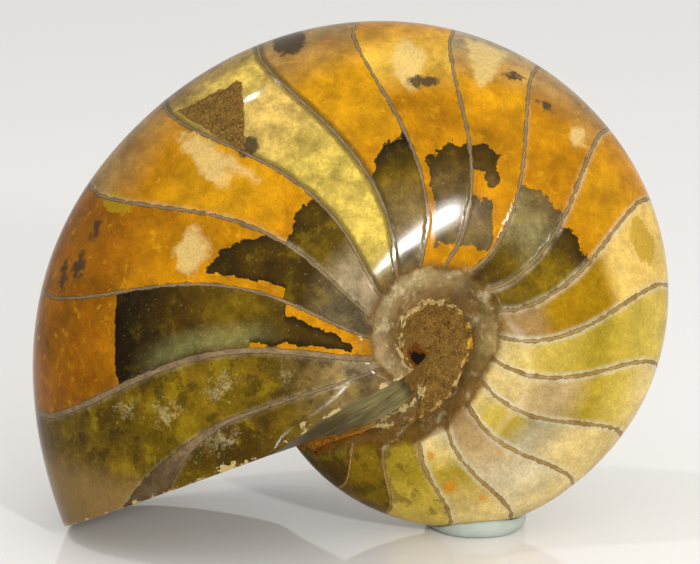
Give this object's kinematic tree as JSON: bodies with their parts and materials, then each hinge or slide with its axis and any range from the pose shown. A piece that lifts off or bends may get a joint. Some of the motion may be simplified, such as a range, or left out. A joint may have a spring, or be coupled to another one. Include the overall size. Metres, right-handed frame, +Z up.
{
  "type": "polished fossil nautilus shell",
  "caption": "Polished fossil nautilus coil with curved chamber lines, a mud-filled navel and a cut mouth, standing on its lip and a flat pad of putty.",
  "frame": {"origin": "centre of the bounding box, on the surface that the shell stands on", "axes": "+Z up, the mouth at -X, the near flank facing -Y and leaning back towards +Y"},
  "size_m": [0.1198, 0.063, 0.0941],
  "materials": {
    "polished_calcite": "polished stone",
    "putty": "matte"
  },
  "bodies": {
    "root": {"fossil_shell": "polished_calcite", "putty_pad": "putty"}
  },
  "joints": []
}
